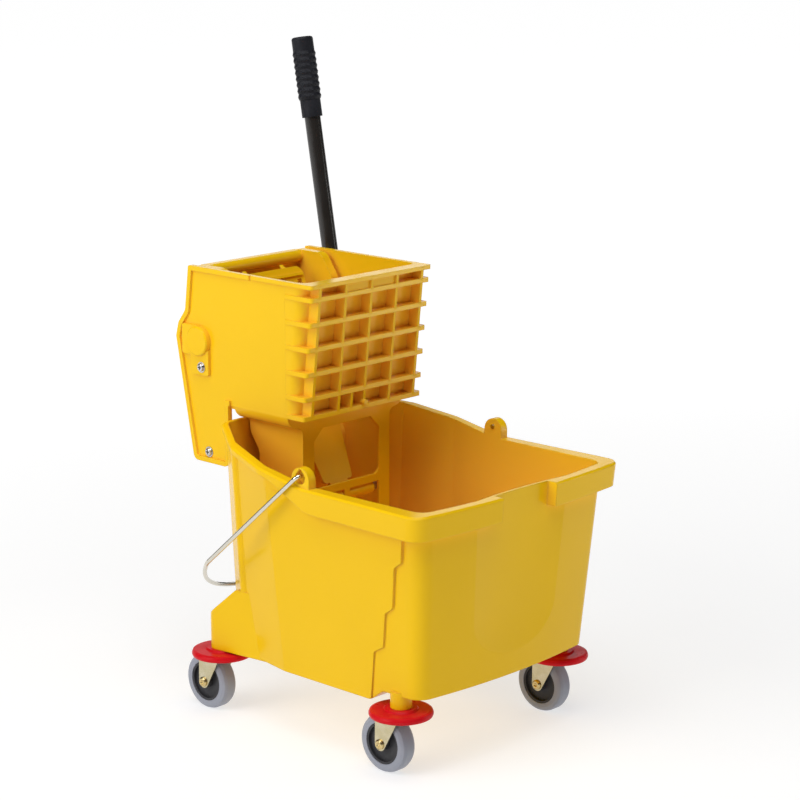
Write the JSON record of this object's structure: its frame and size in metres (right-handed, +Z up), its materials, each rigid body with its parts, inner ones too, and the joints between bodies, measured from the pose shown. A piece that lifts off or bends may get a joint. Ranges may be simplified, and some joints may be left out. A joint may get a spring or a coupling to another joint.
{
  "type": "mop bucket with side-press wringer",
  "caption": "Moulded mop bucket on swivel casters with a wire bail and a lever-operated side-press wringer hung on its rear wall.",
  "frame": {"origin": "on the floor, on the middle plane, where the bucket's outline is measured from", "axes": "+X to the front (spout), +Y to the left (lever side), +Z up"},
  "size_m": [0.5575, 0.3876, 0.8573],
  "materials": {
    "yellow_plastic": "satin moulded",
    "red_bumper": "satin",
    "zinc_steel": "yellow zinc plated",
    "axle_steel": "yellow zinc plated",
    "grey_tyre": "matt, non marking",
    "hub_plastic": "matt moulded",
    "bright_wire": "bright",
    "bright_screw": "bright",
    "shaft_steel": "turned",
    "black_paint": "gloss black",
    "grip_rubber": "matt"
  },
  "bodies": {
    "bucket": {"bucket_shell": "yellow_plastic", "bumper_front_right": "red_bumper", "bumper_front_left": "red_bumper", "bumper_rear_right": "red_bumper", "bumper_rear_left": "red_bumper", "caster_stem_front_right": "zinc_steel", "caster_stem_front_left": "zinc_steel", "caster_stem_rear_right": "zinc_steel", "caster_stem_rear_left": "zinc_steel"},
    "bail": {"bail": "bright_wire"},
    "wringer": {"wringer_housing": "yellow_plastic", "basket_front": "yellow_plastic", "pivot_cap_right": "yellow_plastic", "pivot_cap_left": "yellow_plastic", "cap_screws": "bright_screw", "tie_screws": "bright_screw", "screw_washers": "bright_screw", "tie_rod": "shaft_steel", "hinge_pin": "shaft_steel"},
    "lever": {"cross_shaft": "shaft_steel", "yoke": "yellow_plastic", "lever_socket": "black_paint", "lever_tube": "black_paint", "lever_grip": "grip_rubber", "socket_bolt": "bright_screw"},
    "presser": {"presser": "yellow_plastic"},
    "caster_front_right": {"caster_fork_front_right": "zinc_steel", "caster_axle_front_right": "axle_steel"},
    "wheel_front_right": {"wheel_hub_front_right": "hub_plastic", "tyre_front_right": "grey_tyre"},
    "caster_front_left": {"caster_fork_front_left": "zinc_steel", "caster_axle_front_left": "axle_steel"},
    "wheel_front_left": {"wheel_hub_front_left": "hub_plastic", "tyre_front_left": "grey_tyre"},
    "caster_rear_right": {"caster_fork_rear_right": "zinc_steel", "caster_axle_rear_right": "axle_steel"},
    "wheel_rear_right": {"wheel_hub_rear_right": "hub_plastic", "tyre_rear_right": "grey_tyre"},
    "caster_rear_left": {"caster_fork_rear_left": "zinc_steel", "caster_axle_rear_left": "axle_steel"},
    "wheel_rear_left": {"wheel_hub_rear_left": "hub_plastic", "tyre_rear_left": "grey_tyre"}
  },
  "joints": [
    {"name": "wringer_lift", "type": "slide", "parent": "bucket", "child": "wringer", "axis": [0, 0, 1], "range_m": [0, 0.33]},
    {"name": "lever_turn", "type": "hinge", "parent": "wringer", "child": "lever", "pos_m": [-0.25299, 0, 0.48121], "axis": [0, 1, 0], "range_deg": [0, 80]},
    {"name": "presser_turn", "type": "hinge", "parent": "wringer", "child": "presser", "pos_m": [-0.10079, 0, 0.28121], "axis": [0, 1, 0], "range_deg": [0, 16.4]},
    {"name": "bail_swing", "type": "hinge", "parent": "bucket", "child": "bail", "pos_m": [0.01, 0, 0.3605], "axis": [0, 1, 0], "range_deg": [0, 50]},
    {"name": "swivel_front_right", "type": "hinge", "parent": "bucket", "child": "caster_front_right", "pos_m": [0.1462, -0.1491, 0.0375], "axis": [0, 0, 1], "continuous": true},
    {"name": "wheel_front_right_spin", "type": "hinge", "parent": "caster_front_right", "child": "wheel_front_right", "pos_m": [0.1242, -0.1491, 0.0375], "axis": [0, 1, 0], "continuous": true},
    {"name": "swivel_front_left", "type": "hinge", "parent": "bucket", "child": "caster_front_left", "pos_m": [0.1462, 0.1491, 0.0375], "axis": [0, 0, 1], "continuous": true},
    {"name": "wheel_front_left_spin", "type": "hinge", "parent": "caster_front_left", "child": "wheel_front_left", "pos_m": [0.1242, 0.1491, 0.0375], "axis": [0, 1, 0], "continuous": true},
    {"name": "swivel_rear_right", "type": "hinge", "parent": "bucket", "child": "caster_rear_right", "pos_m": [-0.1805, -0.1436, 0.0375], "axis": [0, 0, 1], "continuous": true},
    {"name": "wheel_rear_right_spin", "type": "hinge", "parent": "caster_rear_right", "child": "wheel_rear_right", "pos_m": [-0.2025, -0.1436, 0.0375], "axis": [0, 1, 0], "continuous": true},
    {"name": "swivel_rear_left", "type": "hinge", "parent": "bucket", "child": "caster_rear_left", "pos_m": [-0.1805, 0.1436, 0.0375], "axis": [0, 0, 1], "continuous": true},
    {"name": "wheel_rear_left_spin", "type": "hinge", "parent": "caster_rear_left", "child": "wheel_rear_left", "pos_m": [-0.2025, 0.1436, 0.0375], "axis": [0, 1, 0], "continuous": true}
  ],
  "couplings": [
    {"joint": "presser_turn", "follows": "lever_turn", "ratio": 0.205}
  ]
}
